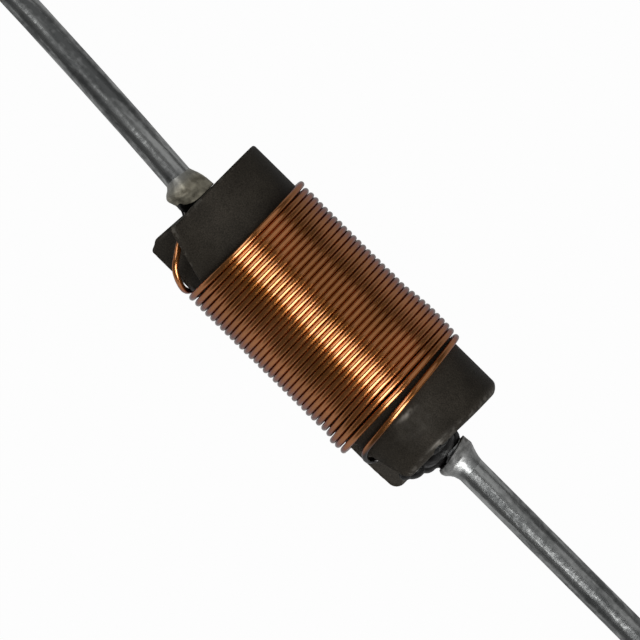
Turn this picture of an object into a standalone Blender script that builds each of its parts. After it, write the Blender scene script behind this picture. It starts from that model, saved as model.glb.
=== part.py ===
"""Axial inductor: one layer of enamelled wire on a slotted ferrite rod, with a tinned lead at each end.

X runs along the core, from lead A to lead B, and Z is up. The part lies on the plane z = 0: its winding
rests there, and each lead slopes down to it. The origin is on that plane, under the core's middle.
An angle round the core is measured from the top towards -Y, so a right-handed helix gains angle and x.
"""

import math
from dataclasses import dataclass

import bmesh
import bpy
from mathutils import Quaternion, Vector

MM = 0.001

# Clearance between neighbouring solids
FIT = 0.012 * MM

# Ferrite core
CORE_DIAMETER = 4.06 * MM
CORE_LENGTH = 9.5 * MM
CORE_EDGE_A = 0.08 * MM
CORE_EDGE_B = 0.27 * MM
CORE_STEPS = 72
EDGE_STEPS = 4

# Wire slots: V grooves that rise from the lead's hole at the end face to the core's surface
SLOT_LENGTH = 2.2 * MM
SLOT_MOUTH = 2.0 * MM
SLOT_ANGLE_A = math.radians(62)
SLOT_ANGLE_B = math.radians(76)
CUT_MARGIN = 0.5 * MM

# Leads: tinned copper, 20 AWG
LEAD_DIAMETER = 0.813 * MM
LEAD_REACH = 21.5 * MM
LEAD_SEAT = 1.9 * MM
LEAD_OFFSET = 0.15 * MM
LEAD_BEND_START = 0.15 * MM
LEAD_BEND = 0.5 * MM
LEAD_EASE_START_A = 0.2 * MM
LEAD_EASE_START_B = 7.0 * MM
LEAD_EASE = 6.0 * MM
LEAD_RESOLUTION = 4
LEAD_YAW_A = math.radians(4.2)
LEAD_FAR_YAW_A = math.radians(2.8)
LEAD_YAW_B = math.radians(-0.2)
LEAD_FAR_YAW_B = math.radians(-3.3)
MAX_DROOP = math.radians(60)
BEND_STEPS = 6

# Winding: 34 AWG copper, measured over its enamel
WIRE_DIAMETER = 0.183 * MM
TURN_SPACING = 0.0027 * MM
MARGIN_A = 1.77 * MM
MARGIN_B = 1.79 * MM
TURN_STEPS = 24
WIRE_RESOLUTION = 1
LEAD_OUT_STEP = 0.1 * MM
WIRE_CORNER = 0.12 * MM
FIRST_TURN_START = math.radians(98)
LAST_TURN_END = math.radians(-22)
SLOT_ENTRY = 0.676

# The last turns are loose: a share of their slack lies in the last quarter turn, the rest over two turns
TAIL_SHARE = 0.7
TAIL_TURNS = (0.25, 1.9)

# Loose turns stand proud of the others on the +Y side
BULGE_HEIGHT = 0.09 * MM
BULGE_HALF_LENGTH = 1.1 * MM
BULGE_FROM_END = 0.85 * MM

# Adhesive and solder on the leads
ADHESIVE_WALL = 0.08 * MM
ADHESIVE_DEPTH = 1.0 * MM
SMEAR_HEIGHT_B = 0.95 * MM
SMEAR_REACH_B = 0.34 * MM
SMEAR_ANGLE_B = math.radians(-5)
SOLDER_START_A = 0.19 * MM
SOLDER_START_B = 0.32 * MM
SOLDER_SLANT_A = 0.14 * MM
SOLDER_SLANT_B = 0.11 * MM
SOLDER_LENGTH = 0.74 * MM
SOLDER_HEIGHTS_A = (0.19 * MM, 0.19 * MM, 0.15 * MM, 0.075 * MM, 0.022 * MM)
SOLDER_HEIGHTS_B = (0.15 * MM, 0.155 * MM, 0.11 * MM, 0.05 * MM, 0.022 * MM)
SOLDER_BUMP = 0.14 * MM
SOLDER_BUMP_REACH = 0.45 * MM
BUMP_SHARPNESS = 3
SLEEVE_SIDES = 24

# Colour in linear values, roughness and metallic value
FINISHES = {
    "sintered_ferrite": ((0.032, 0.029, 0.025), 0.6, 0.0),
    "enamelled_copper": ((0.42, 0.17, 0.05), 0.3, 1.0),
    "tinned_copper": ((0.36, 0.37, 0.37), 0.4, 1.0),
    "solder": ((0.55, 0.55, 0.53), 0.25, 1.0),
    "black_adhesive": ((0.01, 0.01, 0.01), 0.2, 0.0),
}

LEAD_RADIUS = LEAD_DIAMETER / 2
WIRE_RADIUS = WIRE_DIAMETER / 2
CORE_RADIUS = CORE_DIAMETER / 2
PITCH = WIRE_DIAMETER + TURN_SPACING
TURNS = 1 + round((CORE_LENGTH - MARGIN_A - MARGIN_B) / PITCH)
TURN_RADIUS = (CORE_RADIUS + WIRE_RADIUS + FIT) / math.cos(math.pi / TURN_STEPS)
AXIS_HEIGHT = TURN_RADIUS + WIRE_RADIUS
HOLE_RADIUS = LEAD_RADIUS + FIT + ADHESIVE_WALL / 2 + FIT
TAP_DISTANCE = LEAD_RADIUS + FIT + ADHESIVE_WALL + FIT + WIRE_RADIUS

# The wire's way through each slot: (share of the slot's length, turn from the slot's direction, radius)
CROSSINGS_A = (
    (0.25, 0.0, CORE_RADIUS - 0.345 * MM),
    (0.40, math.radians(6.7), CORE_RADIUS + 0.03 * MM),
    (0.50, math.radians(11.6), TURN_RADIUS),
    (0.65, math.radians(23.0), TURN_RADIUS),
)
CROSSINGS_B = (
    (0.36, math.radians(-1.0), CORE_RADIUS - 0.23 * MM),
    (0.46, math.radians(-3.0), CORE_RADIUS - 0.08 * MM),
    (0.56, math.radians(-5.4), CORE_RADIUS + 0.04 * MM),
    (0.615, math.radians(-8.7), CORE_RADIUS + 0.1 * MM),
    (0.65, math.radians(-13.5), TURN_RADIUS),
)


@dataclass(frozen=True)
class End:
    """One end of the part: its slot's direction, the way its lead turns off and where its solder starts."""

    side: int
    slot_angle: float
    yaw: float
    ease_start: float
    far_yaw: float
    solder_start: float
    solder_slant: float

    @property
    def face(self):
        """The x of the core's end face."""
        return self.side * CORE_LENGTH / 2


END_A = End(
    -1, SLOT_ANGLE_A, LEAD_YAW_A, LEAD_EASE_START_A, LEAD_FAR_YAW_A, SOLDER_START_A, SOLDER_SLANT_A
)
END_B = End(
    1, SLOT_ANGLE_B, LEAD_YAW_B, LEAD_EASE_START_B, LEAD_FAR_YAW_B, SOLDER_START_B, SOLDER_SLANT_B
)


def material(name):
    """A Principled material of one of the finishes."""
    colour, roughness, metallic = FINISHES[name]
    made = bpy.data.materials.new(name)
    made.use_nodes = True
    shader = made.node_tree.nodes["Principled BSDF"]
    shader.inputs["Base Color"].default_value = (*colour, 1.0)
    shader.inputs["Roughness"].default_value = roughness
    shader.inputs["Metallic"].default_value = metallic
    return made


def add_object(name, data, finish=None):
    """Links an object to the scene and gives it a material of its own."""
    made = bpy.data.objects.new(name, data)
    bpy.context.scene.collection.objects.link(made)
    if finish:
        data.materials.append(material(finish))
    return made


def add_mesh(name, bm, finish=None):
    """Turns a bmesh into an object, smooth except across its sharp edges."""
    bmesh.ops.recalc_face_normals(bm, faces=bm.faces)
    mesh = bpy.data.meshes.new(name)
    bm.to_mesh(mesh)
    bm.free()
    mesh.shade_smooth()
    mesh.set_sharp_from_angle(angle=math.radians(40))
    return add_object(name, mesh, finish)


def add_tube(name, points, radius, resolution, finish):
    """A round wire along a row of points, closed at both ends."""
    curve = bpy.data.curves.new(name, "CURVE")
    curve.dimensions = "3D"
    curve.bevel_depth = radius
    curve.bevel_resolution = resolution
    curve.use_fill_caps = True
    spline = curve.splines.new("POLY")
    spline.points.add(len(points) - 1)
    for target, point in zip(spline.points, points):
        target.co = (*point, 1.0)
    return add_object(name, curve, finish)


def around(x, angle, radius):
    """A point round the core's axis."""
    return Vector((x, -radius * math.sin(angle), AXIS_HEIGHT + radius * math.cos(angle)))


def quarter_arc(centre, radius, start):
    """Points of a rounded edge, as (x, distance from the axis), over 90 degrees clockwise from start."""
    turns = [start - math.pi / 2 * i / EDGE_STEPS for i in range(EDGE_STEPS + 1)]
    return [(centre[0] + radius * math.cos(a), centre[1] + radius * math.sin(a)) for a in turns]


def core_blank():
    """The plain rod with its two rounded edges, spun round its axis."""
    half = CORE_LENGTH / 2
    profile = [(-half, 0.0)]
    profile += quarter_arc((-half + CORE_EDGE_A, CORE_RADIUS - CORE_EDGE_A), CORE_EDGE_A, math.pi)
    profile += quarter_arc((half - CORE_EDGE_B, CORE_RADIUS - CORE_EDGE_B), CORE_EDGE_B, math.pi / 2)
    profile.append((half, 0.0))
    bm = bmesh.new()
    line = [bm.verts.new(around(x, 0.0, radius)) for x, radius in profile]
    edges = [bm.edges.new(pair) for pair in zip(line, line[1:])]
    centre = Vector((0.0, 0.0, AXIS_HEIGHT))
    bmesh.ops.spin(
        bm,
        geom=line + edges,
        cent=centre,
        axis=(1, 0, 0),
        angle=math.tau,
        steps=CORE_STEPS,
        use_merge=True,
    )
    bmesh.ops.remove_doubles(bm, verts=bm.verts, dist=FIT / 100)
    return bm


def slot_point(end, depth, height, offset):
    """A point by its depth from the end face, its height up the slot from the core's axis and its offset."""
    up = around(0.0, end.slot_angle, height)
    across = Vector((0.0, math.cos(end.slot_angle), math.sin(end.slot_angle)))
    return up + across * offset + Vector((end.face - end.side * depth, 0.0, 0.0))


def slot_cutter(end):
    """The V groove: two flat walls that meet in a line from the lead's middle up to the core's surface."""
    rise = CORE_RADIUS - LEAD_OFFSET
    outer_floor = LEAD_OFFSET - rise * CUT_MARGIN / SLOT_LENGTH
    top = CORE_RADIUS + CUT_MARGIN
    half_width = (top - outer_floor) * SLOT_MOUTH / 2 / rise
    corners = [
        slot_point(end, -CUT_MARGIN, outer_floor, 0.0),
        slot_point(end, -CUT_MARGIN, top, half_width),
        slot_point(end, -CUT_MARGIN, top, -half_width),
        slot_point(end, SLOT_LENGTH * (top - LEAD_OFFSET) / rise, top, 0.0),
    ]
    bm = bmesh.new()
    verts = [bm.verts.new(corner) for corner in corners]
    for face in ((0, 1, 2), (0, 1, 3), (0, 2, 3), (1, 2, 3)):
        bm.faces.new([verts[i] for i in face])
    return bm


def hole_cutter(end):
    """The blind hole that the lead is glued into."""
    deep = LEAD_SEAT + FIT
    bm = bmesh.new()
    bmesh.ops.create_cone(
        bm,
        cap_ends=True,
        segments=SLEEVE_SIDES,
        radius1=HOLE_RADIUS,
        radius2=HOLE_RADIUS,
        depth=deep + CUT_MARGIN,
    )
    bmesh.ops.rotate(bm, verts=bm.verts, matrix=Quaternion((0, 1, 0), math.pi / 2).to_matrix())
    middle = slot_point(end, (deep - CUT_MARGIN) / 2, LEAD_OFFSET, 0.0)
    bmesh.ops.translate(bm, verts=bm.verts, vec=middle)
    return bm


def cut(body, name, bm):
    """Cuts a shape out of a body."""
    tool = add_mesh(name, bm)
    tool.hide_render = True
    tool.display_type = "WIRE"
    modifier = body.modifiers.new(name, "BOOLEAN")
    modifier.operation = "DIFFERENCE"
    modifier.solver = "EXACT"
    modifier.object = tool


def ferrite_core():
    """The pressed and sintered rod, with a wire slot and a lead hole in each end."""
    core = add_mesh("ferrite_core", core_blank(), "sintered_ferrite")
    for letter, end in (("a", END_A), ("b", END_B)):
        cut(core, f"slot_cutter_{letter}", slot_cutter(end))
        cut(core, f"hole_cutter_{letter}", hole_cutter(end))


def lead_path(end, droop):
    """The lead's centre line, as (point, direction) pairs, from the bottom of its hole to its end."""
    straight = Vector((end.side, 0.0, 0.0))
    turned = Vector(
        (
            end.side * math.cos(droop) * math.cos(end.yaw),
            math.cos(droop) * math.sin(end.yaw),
            -math.sin(droop),
        )
    )
    bend = straight.rotation_difference(turned)
    ease = Quaternion((0, 0, 1), end.side * (end.far_yaw - end.yaw))
    stretches = [
        (LEAD_SEAT + LEAD_BEND_START, Quaternion(), 1),
        (LEAD_BEND, bend, BEND_STEPS),
        (end.ease_start, Quaternion(), 1),
        (LEAD_EASE, ease, BEND_STEPS),
        (LEAD_REACH - LEAD_BEND_START - LEAD_BEND - end.ease_start - LEAD_EASE, Quaternion(), 1),
    ]
    point = slot_point(end, LEAD_SEAT, LEAD_OFFSET, 0.0)
    direction = straight
    path = [(point, direction)]
    for length, turn, steps in stretches:
        part_turn = Quaternion(turn.axis, turn.angle / steps)
        half_turn = Quaternion(turn.axis, turn.angle / steps / 2)
        for _ in range(steps):
            point = point + half_turn @ direction * (length / steps)
            direction = part_turn @ direction
            path.append((point, direction))
    return path


def resting_droop(end):
    """The droop that brings the lowest edge of the lead's cut end down to z = 0."""
    low, high = 0.0, MAX_DROOP
    for _ in range(40):
        middle = (low + high) / 2
        tip = lead_path(end, middle)[-1][0]
        if tip.z > LEAD_RADIUS * math.cos(middle):
            low = middle
        else:
            high = middle
    return low


def lead(name, end):
    """A tinned copper lead, bent a little where it leaves its joint."""
    points = [point for point, _ in lead_path(end, resting_droop(end))]
    add_tube(name, points, LEAD_RADIUS, LEAD_RESOLUTION, "tinned_copper")


def along_lead(path, distance):
    """The point and direction of the lead at a distance out from the core's end face."""
    left = distance + LEAD_SEAT
    for (start, heading), (stop, _) in zip(path, path[1:]):
        length = (stop - start).length
        if left <= length or stop is path[-1][0]:
            return start.lerp(stop, left / length), heading
        left -= length
    return path[-1]


def ring_point(end, path, distance, slant, angle, radius):
    """A point on a ring round the lead: the slant moves it out on the slot's side and in on the other."""
    point, heading = along_lead(path, distance + slant * math.cos(angle - end.slot_angle))
    outwards = Vector((0.0, -math.sin(angle), math.cos(angle)))
    outwards -= heading * outwards.dot(heading)
    return point + outwards.normalized() * radius


def bump_height(bumps, distance, angle):
    """How far a sleeve's lumps raise its surface; each is (distance, half length, angle, height)."""
    height = 0.0
    for centre, half_length, direction, top in bumps:
        near = max(0.0, 1.0 - ((distance - centre) / half_length) ** 2)
        height += top * near * max(0.0, math.cos(angle - direction)) ** BUMP_SHARPNESS
    return height


def sleeve(name, end, inside, outside, bumps, finish):
    """A closed sleeve on a lead, lofted through stations.

    A station is (distance out from the end face, radius, slant). Only those outside the core have the bumps.
    """
    path = lead_path(end, resting_droop(end))
    angles = [math.tau * i / SLEEVE_SIDES for i in range(SLEEVE_SIDES)]
    first, last = (inside + outside)[0], outside[-1]
    bore = [(distance, LEAD_RADIUS + FIT, slant) for distance, _, slant in (last, first)]
    lumps = [[]] * len(inside) + [bumps] * len(outside) + [[]] * len(bore)
    bm = bmesh.new()
    rings = []
    for (distance, radius, slant), raised in zip(inside + outside + bore, lumps):
        ring = []
        for angle in angles:
            grown = radius + bump_height(raised, distance, angle)
            ring.append(bm.verts.new(ring_point(end, path, distance, slant, angle, grown)))
        rings.append(ring)
    for here, there in zip(rings, rings[1:] + rings[:1]):
        for i in range(SLEEVE_SIDES):
            j = (i + 1) % SLEEVE_SIDES
            bm.faces.new((here[i], here[j], there[j], there[i]))
    add_mesh(name, bm, finish)


def adhesive(name, end, bumps):
    """The adhesive round a lead: a thin sleeve down its hole and a collar that reaches the solder."""
    in_hole = HOLE_RADIUS - FIT
    collar = LEAD_RADIUS + FIT + ADHESIVE_WALL
    inside = [(-ADHESIVE_DEPTH, in_hole, 0.0), (FIT, in_hole, 0.0)]
    reach = end.solder_start - 2 * FIT
    outside = [(FIT + reach * f, collar, end.solder_slant * f) for f in (0.0, 0.35, 0.7, 1.0)]
    sleeve(name, end, inside, outside, bumps, "black_adhesive")


def solder_joint(name, end, heights):
    """The solder round a lead, from a slanted face at the adhesive to a thin edge, thickest at the wire."""
    stations = []
    for i, height in enumerate(heights):
        share = i / (len(heights) - 1)
        distance = end.solder_start + SOLDER_LENGTH * share
        stations.append((distance, LEAD_RADIUS + height, end.solder_slant * (1 - share) ** 2))
    over_wire = (end.solder_start + end.solder_slant, SOLDER_BUMP_REACH, end.slot_angle, SOLDER_BUMP)
    sleeve(name, end, [], stations, [over_wire], "solder")


def smooth_run(controls):
    """Points of a smooth line through controls of (x, angle, radius), without the first and last control."""
    spans = [(around(*b) - around(*a)).length for a, b in zip(controls, controls[1:])]
    slopes = [(b - a) / span for a, b, span in zip(controls, controls[1:], spans)]
    tangents = [
        (before * next_span + after * last_span) / (last_span + next_span)
        for before, after, last_span, next_span in zip(slopes, slopes[1:], spans, spans[1:])
    ]
    run = []
    for i, (leave, arrive) in enumerate(zip(tangents, tangents[1:])):
        start, stop, span = controls[i + 1], controls[i + 2], spans[i + 1]
        count = math.ceil(span / LEAD_OUT_STEP)
        for f in (k / count for k in range(count)):
            blend = start * (1 + 2 * f) * (1 - f) ** 2 + stop * f * f * (3 - 2 * f)
            lean = leave * f * (1 - f) ** 2 - arrive * f * f * (1 - f)
            run.append(blend + lean * span)
    return run


def slot_run(end, laps, crossings):
    """The wire's way from the solder up through the slot, as controls of (x, angle, radius).

    Each crossing is (share of the slot's length, turn from the slot's direction, radius).
    """
    path = lead_path(end, resting_droop(end))
    met = ring_point(end, path, end.solder_start, end.solder_slant, end.slot_angle, TAP_DISTANCE)
    met_angle = math.atan2(-met.y, met.z - AXIS_HEIGHT)
    met_radius = math.hypot(met.y, met.z - AXIS_HEIGHT)
    controls = [
        Vector((met.x - end.side * FIT, met_angle, met_radius)),
        Vector((end.face + end.side * WIRE_CORNER, end.slot_angle, LEAD_OFFSET + TAP_DISTANCE)),
    ]
    for share, turn, radius in crossings:
        x = end.face - end.side * SLOT_LENGTH * share
        controls.append(Vector((x, end.slot_angle + turn, radius)))
    return [control + Vector((0.0, math.tau * laps, 0.0)) for control in controls]


def helix_control(turn, last_turn):
    """The wire's (x, angle, radius) at a number of turns from its first pass over the top."""
    first_x = END_A.face + MARGIN_A
    to_go = last_turn - turn
    quick, slow = (math.exp(-((to_go / turns) ** 2)) for turns in TAIL_TURNS)
    slack = END_B.face - SLOT_LENGTH * SLOT_ENTRY - (first_x + PITCH * last_turn)
    x = first_x + PITCH * turn + slack * (TAIL_SHARE * quick + (1 - TAIL_SHARE) * slow)
    angle = math.tau * turn
    bulge_x = first_x + PITCH * (TURNS - 1) - BULGE_FROM_END
    along = max(0.0, 1.0 - ((x - bulge_x) / BULGE_HALF_LENGTH) ** 2)
    facing = max(0.0, math.cos(angle + math.pi / 2)) ** 2
    return Vector((x, angle, TURN_RADIUS + BULGE_HEIGHT * along * facing))


def copper_winding():
    """One enamelled wire: up through slot A, round the core in a right-handed helix, down through slot B."""
    rising = slot_run(END_A, -1, CROSSINGS_A)
    falling = slot_run(END_B, TURNS - 1, CROSSINGS_B)
    falling.reverse()
    first_turn = (SLOT_ANGLE_A + FIRST_TURN_START) / math.tau - 1
    last_turn = (SLOT_ANGLE_B + LAST_TURN_END) / math.tau + TURNS - 1
    wound = last_turn - first_turn
    steps = round(wound * TURN_STEPS)
    helix = [helix_control(first_turn + wound * i / steps, last_turn) for i in range(steps + 1)]
    way_in = smooth_run([2 * rising[0] - rising[1]] + rising + helix[:2])
    way_out = smooth_run(helix[-2:] + falling + [2 * falling[-1] - falling[-2]])
    wire = way_in + helix[:-1] + way_out + falling[-1:]
    points = [around(*control) for control in wire]
    add_tube("copper_winding", points, WIRE_RADIUS, WIRE_RESOLUTION, "enamelled_copper")


def main():
    for old in list(bpy.data.objects):
        bpy.data.objects.remove(old, do_unlink=True)
    ferrite_core()
    copper_winding()
    lead("lead_a", END_A)
    lead("lead_b", END_B)
    solder_joint("solder_joint_a", END_A, SOLDER_HEIGHTS_A)
    solder_joint("solder_joint_b", END_B, SOLDER_HEIGHTS_B)
    smear = (0.0, SMEAR_REACH_B, SMEAR_ANGLE_B, SMEAR_HEIGHT_B)
    adhesive("adhesive_a", END_A, [])
    adhesive("adhesive_b", END_B, [smear])


main()
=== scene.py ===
"""Axial inductor: the finished surfaces of every piece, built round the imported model.

X runs along the core, from lead A to lead B, and Z is up from the surface that the part lies on.
An angle round the core is measured from the top towards -Y, so a right-handed helix gains angle and x.
"""

import math
from functools import partial
from types import SimpleNamespace

import bmesh
import bpy
import numpy as np
from bpy.props import FloatProperty, FloatVectorProperty, IntProperty, PointerProperty
from mathutils import Matrix, Quaternion, Vector, noise


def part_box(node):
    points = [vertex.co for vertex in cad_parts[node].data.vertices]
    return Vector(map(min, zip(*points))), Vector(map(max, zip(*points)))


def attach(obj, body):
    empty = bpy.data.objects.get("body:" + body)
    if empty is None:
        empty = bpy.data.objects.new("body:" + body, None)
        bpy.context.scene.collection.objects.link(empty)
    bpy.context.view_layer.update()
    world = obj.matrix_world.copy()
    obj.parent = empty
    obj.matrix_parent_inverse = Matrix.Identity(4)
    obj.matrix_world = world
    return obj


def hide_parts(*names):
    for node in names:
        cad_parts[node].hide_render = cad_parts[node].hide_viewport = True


bl_info = {
    "name": "Axial Inductor",
    "version": (1, 0, 0),
    "blender": (4, 5, 0),
    "location": "View3D > Sidebar > Inductor",
    "description": "Builds a wire-wound axial inductor on a slotted ferrite rod",
    "category": "Add Mesh",
}

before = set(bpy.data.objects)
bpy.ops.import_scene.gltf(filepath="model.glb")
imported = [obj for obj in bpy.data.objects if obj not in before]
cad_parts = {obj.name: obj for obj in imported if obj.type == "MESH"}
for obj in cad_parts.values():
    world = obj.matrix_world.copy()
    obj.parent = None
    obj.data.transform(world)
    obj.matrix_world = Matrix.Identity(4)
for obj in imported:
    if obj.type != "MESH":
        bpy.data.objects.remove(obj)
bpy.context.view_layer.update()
CORE_LOW, CORE_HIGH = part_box("ferrite_core")

MM = 0.001
AXIS_HEIGHT = (CORE_LOW.z + CORE_HIGH.z) / 2
SENSOR = 36.0

# The range in which nearly all values of a noise pattern lie.
NOISE_RANGE = {"From Min": 0.3, "From Max": 0.7}

# How far end face A stands out from a flat one, in mm, at each y in mm.
EAR_Y = (-2.05, -1.95, -1.72, -1.28, -1.07, -0.78, -0.5)
EAR_OUT = (-0.05, -0.02, 0.095, 0.05, -0.02, -0.04, 0.0)

# Painted sheen and highlights on the core's top, beside the last turn and on rim B: (share, x, size along x,
# y, size along y), in mm.
SHEEN_MARKS = (
    (1.6, 3.455, 0.065, -0.3, 0.29),
    (0.16, 3.85, 0.45, -0.35, 0.6),
    (1.3, 4.6, 0.03, -0.27, 0.26),
    (1.0, 4.67, 0.025, -0.2, 0.2),
)

# How the wire crosses each slot: (share of the slot's length, degrees past its middle, mm off the core).
CROSSINGS = {
    "a": (
        (0.25, -2.0, -0.345),
        (0.4, 4.7, 0.04),
        (0.49, 9.6, 0.1065),
        (0.56, 15.0, 0.1165),
        (0.62, 22.0, 0.1165),
    ),
    "b": ((0.34, -0.5, -0.55), (0.43, 1.0, -0.32), (0.52, -1.5, -0.02), (0.58, -8.5, 0.07)),
}

# The solder's height above the lead, in mm, at even steps from the core to its thin edge.
SOLDER_HEIGHTS = {
    "a": (0.2, 0.19, 0.18, 0.15, 0.1, 0.04, -0.015),
    "b": (0.12, 0.135, 0.15, 0.1, 0.048, 0.014, -0.004),
}

# Its lumps: (share of the way to the edge, length as a share, degrees past the slot, spread in radians,
# height in mm).
SOLDER_LUMPS = {
    "a": ((0.57, 0.19, 26.0, 0.75, 0.1), (0.1, 0.25, 31.0, 0.7, -0.045), (0.35, 0.22, -8.594, 0.45, 0.05)),
    "b": ((0.1, 0.3, 0.0, 0.75, 0.13),),
}

# The ellipsoids of each smear of adhesive: (centre from the core's axis, radii), in mm.
ADHESIVE_BLOBS = {
    "a": (((-4.78, -0.13, 0.07), (0.25, 0.5, 0.5)), ((-4.92, -0.46, 0.27), (0.3, 0.22, 0.26))),
    "b": (
        ((4.76, -0.15, 0.04), (0.38, 0.5, 0.58)),
        ((4.96, -0.5, 0.1), (0.22, 0.34, 0.44)),
        ((4.83, -0.84, 0.1), (0.25, 0.32, 0.46)),
        ((4.7, -1.16, 0.2), (0.25, 0.36, 0.5)),
        ((4.58, -1.42, 0.3), (0.2, 0.26, 0.4)),
        ((4.74, -0.42, 0.6), (0.3, 0.62, 0.9)),
        ((4.66, -0.3, 1.5), (0.15, 0.4, 0.42)),
    ),
}


def linear(code):
    """A colour for Blender, in linear values, from an sRGB hex code."""
    parts = [int(code[i : i + 2], 16) / 255 for i in (1, 3, 5)]
    return [c / 12.92 if c <= 0.04045 else ((c + 0.055) / 1.055) ** 2.4 for c in parts]


def length(name, value, about):
    """A property for a size, given in metres."""
    return FloatProperty(name=name, description=about, default=value, unit="LENGTH", precision=6)


def angle(name, degrees, about):
    """A property for an angle, given in degrees."""
    return FloatProperty(name=name, description=about, default=math.radians(degrees), unit="ROTATION")


def colour(name, code, about):
    """A property for a colour, given as an sRGB hex code."""
    shade = (*linear(code), 1.0)
    return FloatVectorProperty(
        name=name, description=about, default=shade, subtype="COLOR", size=4, min=0, max=1
    )


class CoreSettings(bpy.types.PropertyGroup):
    """Sizes and colours of the ferrite core."""

    diameter: length("Diameter", CORE_HIGH.z - CORE_LOW.z, "Across the rod")
    length: length("Length", CORE_HIGH.x - CORE_LOW.x, "Between the end faces")
    edge_a: length("Edge A", 0.08 * MM, "Rounding of the rim at lead A")
    edge_b: length("Edge B", 0.27 * MM, "Rounding of the rim at lead B")
    slot_length: length("Slot length", 2.2 * MM, "From the end face to where a slot runs out")
    slot_mouth: length("Slot mouth", 2.0 * MM, "Width of a slot at the end face")
    slot_angle_a: angle("Slot angle A", 64, "Direction of the slot at lead A")
    slot_angle_b: angle("Slot angle B", 76, "Direction of the slot at lead B")
    lip: length("Lip rounding", 0.09 * MM, "Softness of the slots' pressed lips")
    chip: length("Chip depth", 0.05 * MM, "Depth of the chips along the edges")
    ferrite: colour("Ferrite", "#34302a", "Sintered ferrite")
    # Paler grey for the real chips, also used for the painted sheen and highlights on the core's top.
    ferrite_worn_and_sheen: colour("Worn ferrite", "#8e8981", "Ferrite where an edge has chipped")


class WindingSettings(bpy.types.PropertyGroup):
    """Sizes and colours of the winding."""

    diameter: length("Wire diameter", 0.183 * MM, "Across the wire and its enamel")
    spacing: length("Spacing", 0.0017 * MM, "Gap between turns")
    turns: IntProperty(name="Turns", description="Passes over the top", default=33, min=2, max=60)
    margin: length("Margin", 1.782 * MM, "From the end face at lead A to the first turn")
    entry: length("Entry", 1.415 * MM, "From the end face at lead B to where the last turn leaves")
    lean: length("Lean", 0.125 * MM, "How far the loose last turns lean")
    bulge: length("Bulge", 0.085 * MM, "How far the loose last turns stand proud on +Y")
    sag: length("Sag", 0.075 * MM, "How far the last turns stand proud on -Y")
    wander: length("Wander", 0.016 * MM, "How far a turn strays from its place")
    wander_length: length("Wander length", 3.2 * MM, "Length of wire between one stray and the next")
    point_spacing: length("Point spacing", 0.145 * MM, "Between points along the wire")
    sides: IntProperty(name="Sides", description="Round the wire", default=14, min=6, max=24)
    seed: IntProperty(name="Seed", description="Which way the turns stray", default=4)
    enamel: colour("Enamel", "#de8f52", "Enamelled copper")
    enamel_dark: colour("Dark enamel", "#be7838", "Enamelled copper where the enamel is thicker")
    enamel_edge: colour("Enamel edge", "#6e4a2c", "Enamelled copper seen at a shallow angle")
    # Dark enamel at the wire's ends: the adhesive's black at A, and painted shade where the wire dives into
    # slot B.
    soiled_and_shaded: colour("Soiled enamel", "#17110e", "The wire's ends where adhesive has soiled them")


class LeadSettings(bpy.types.PropertyGroup):
    """Sizes and colours of the leads."""

    diameter: length("Diameter", 0.813 * MM, "Across a lead")
    reach: length("Reach", 21.5 * MM, "From the end face to the cut end")
    seat: length("Seat", 1.9 * MM, "Depth of a lead in the core")
    offset: length("Offset", 0.15 * MM, "From the core's axis towards the slot")
    bend_start: length("Bend start", 0.15 * MM, "From the end face to the bend")
    bend: length("Bend", 0.5 * MM, "Length of the bend")
    shift_a: length("Shift A", 0.025 * MM, "How far lead A sits off its slot's middle, along Y")
    shift_b: length("Shift B", 0.0, "How far lead B sits off its slot's middle, along Y")
    ease_start_a: length("Ease start A", 0.2 * MM, "From the bend to where lead A turns again")
    ease_start_b: length("Ease start B", 7.0 * MM, "From the bend to where lead B turns again")
    ease: length("Ease", 6.0 * MM, "Length of the lead's second turn")
    droop_a: angle("Droop A", 5.18, "Slope of lead A down to the floor")
    droop_b: angle("Droop B", 5.09, "Slope of lead B down to the floor")
    yaw_a: angle("Yaw A", 4.45, "Turn of lead A at the bend")
    far_yaw_a: angle("Far yaw A", 2.8, "Turn of lead A further out")
    yaw_b: angle("Yaw B", -0.4, "Turn of lead B at the bend")
    far_yaw_b: angle("Far yaw B", -3.3, "Turn of lead B further out")
    dent: length("Dents", 0.009 * MM, "Depth of the dents and drawing marks")
    dent_length: length("Dent length", 1.6 * MM, "Distance from one dent to the next")
    point_spacing: length("Point spacing", 0.14 * MM, "Between points along a lead")
    sides: IntProperty(name="Sides", description="Round a lead", default=48, min=12, max=96)
    seed: IntProperty(name="Seed", description="Where the dents lie", default=11)
    tin: colour("Tin", "#cdcfce", "Bright tinned copper")
    tin_dull: colour("Dull tin", "#7c7e7e", "Tin that has dulled in bands")


class JointSettings(bpy.types.PropertyGroup):
    """Sizes and colours of the solder and the adhesive."""

    solder_start_a: length("Solder start A", 0.02 * MM, "From end face A to the solder")
    solder_start_b: length("Solder start B", 0.2 * MM, "From end face B to the solder")
    solder_slant_a: length("Solder slant A", 0.28 * MM, "How much further out it starts at the wire")
    solder_slant_b: length("Solder slant B", 0.25 * MM, "How much further out it starts at the wire")
    slant_spread_a: angle("Slant spread A", 36, "Width of the part that starts further out")
    slant_spread_b: angle("Slant spread B", 115, "Width of the part that starts further out")
    solder_end_a: length("Solder end A", 0.88 * MM, "From end face A to the solder's thin edge")
    solder_end_b: length("Solder end B", 1.08 * MM, "From end face B to the solder's thin edge")
    ripple: length("Ripple", 0.012 * MM, "Depth of the solder's uneven surface")
    wire_gap: length("Wire gap", 0.005 * MM, "Between a lead and the wire that runs along it")
    voxel: length("Voxel", 0.018 * MM, "Fineness of the adhesive's surface")
    solder: colour("Solder", "#e9e9e7", "Solder")
    solder_dark: colour("Dark solder", "#a2a2a0", "Solder in its grainy hollows")
    flux: colour("Flux", "#ccc6b1", "Solder under a film of flux")
    flux_dark: colour("Dark flux", "#979180", "Solder under a thicker film of flux")
    adhesive: colour("Adhesive", "#0c0b0b", "Black epoxy adhesive")


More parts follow.
